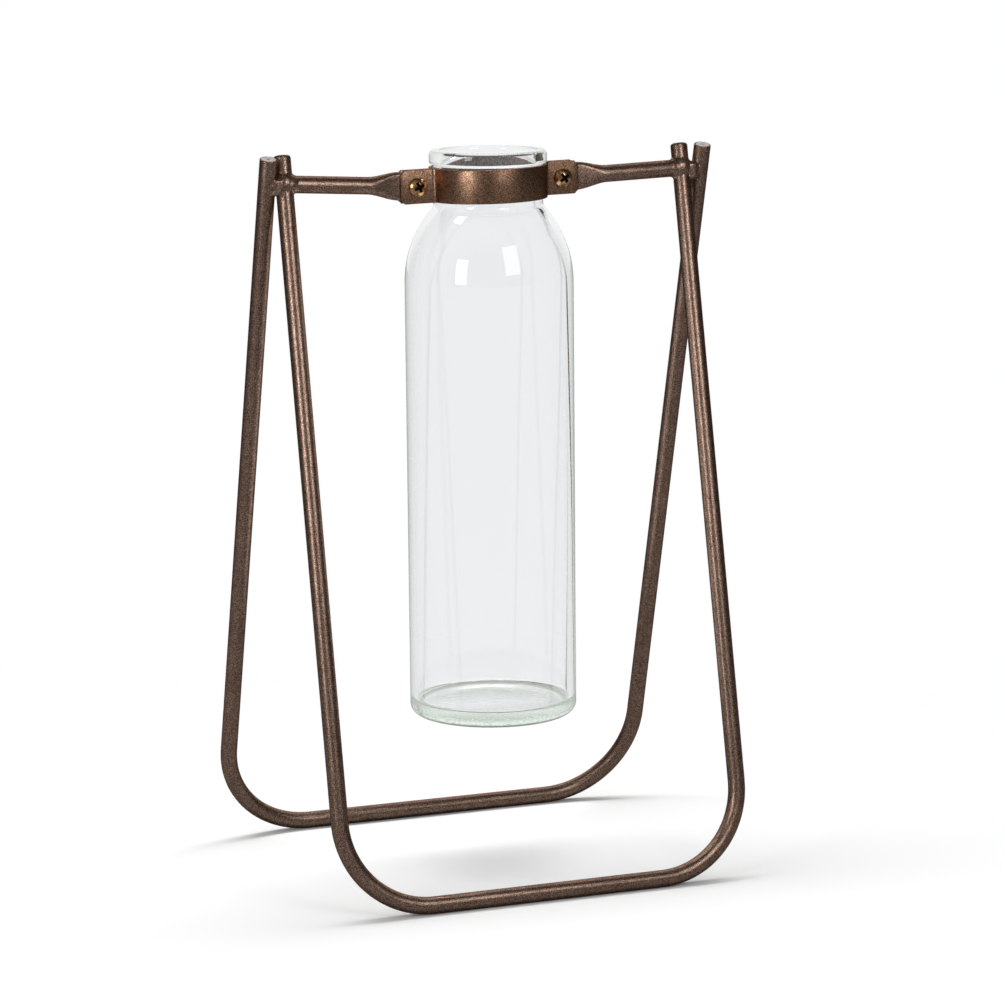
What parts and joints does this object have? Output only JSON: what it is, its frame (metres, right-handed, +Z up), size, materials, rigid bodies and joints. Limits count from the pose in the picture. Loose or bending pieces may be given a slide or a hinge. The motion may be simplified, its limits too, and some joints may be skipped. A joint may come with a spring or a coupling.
{
  "type": "hanging bottle vase",
  "caption": "Clear glass bottle vase that hangs by its lip in a clamped metal collar between two leaning bent-rod frames.",
  "frame": {"origin": "middle of the two feet on the floor, which is the bottom centre of the bounding box", "axes": "+Z up, along the bottle's axis and the longest extent; +X along the two arms; -Y is the front, where the screw heads are"},
  "size_m": [0.18, 0.1404, 0.2761],
  "materials": {
    "clear_glass": "clear, smooth, faint green tint at the edges",
    "bronze_coat": "dark bronze powder coat, satin, fine metallic speckle",
    "yellow_zinc": "yellow zinc plating, glossy"
  },
  "bodies": {
    "stand": {"front_collar_half": "bronze_coat", "rear_collar_half": "bronze_coat", "left_arm": "bronze_coat", "right_arm": "bronze_coat", "front_leg_frame": "bronze_coat", "rear_leg_frame": "bronze_coat", "left_screw": "yellow_zinc", "right_screw": "yellow_zinc", "left_nut": "yellow_zinc", "right_nut": "yellow_zinc", "left_arm_weld": "bronze_coat", "right_arm_weld": "bronze_coat", "left_leg_weld": "bronze_coat", "right_leg_weld": "bronze_coat"},
    "bottle": {"glass_bottle": "clear_glass"}
  },
  "joints": [
    {"name": "bottle_swivel", "type": "hinge", "parent": "stand", "child": "bottle", "pos_m": [0, -0.008, 0.2697], "axis": [0, 0, 1], "continuous": true}
  ]
}
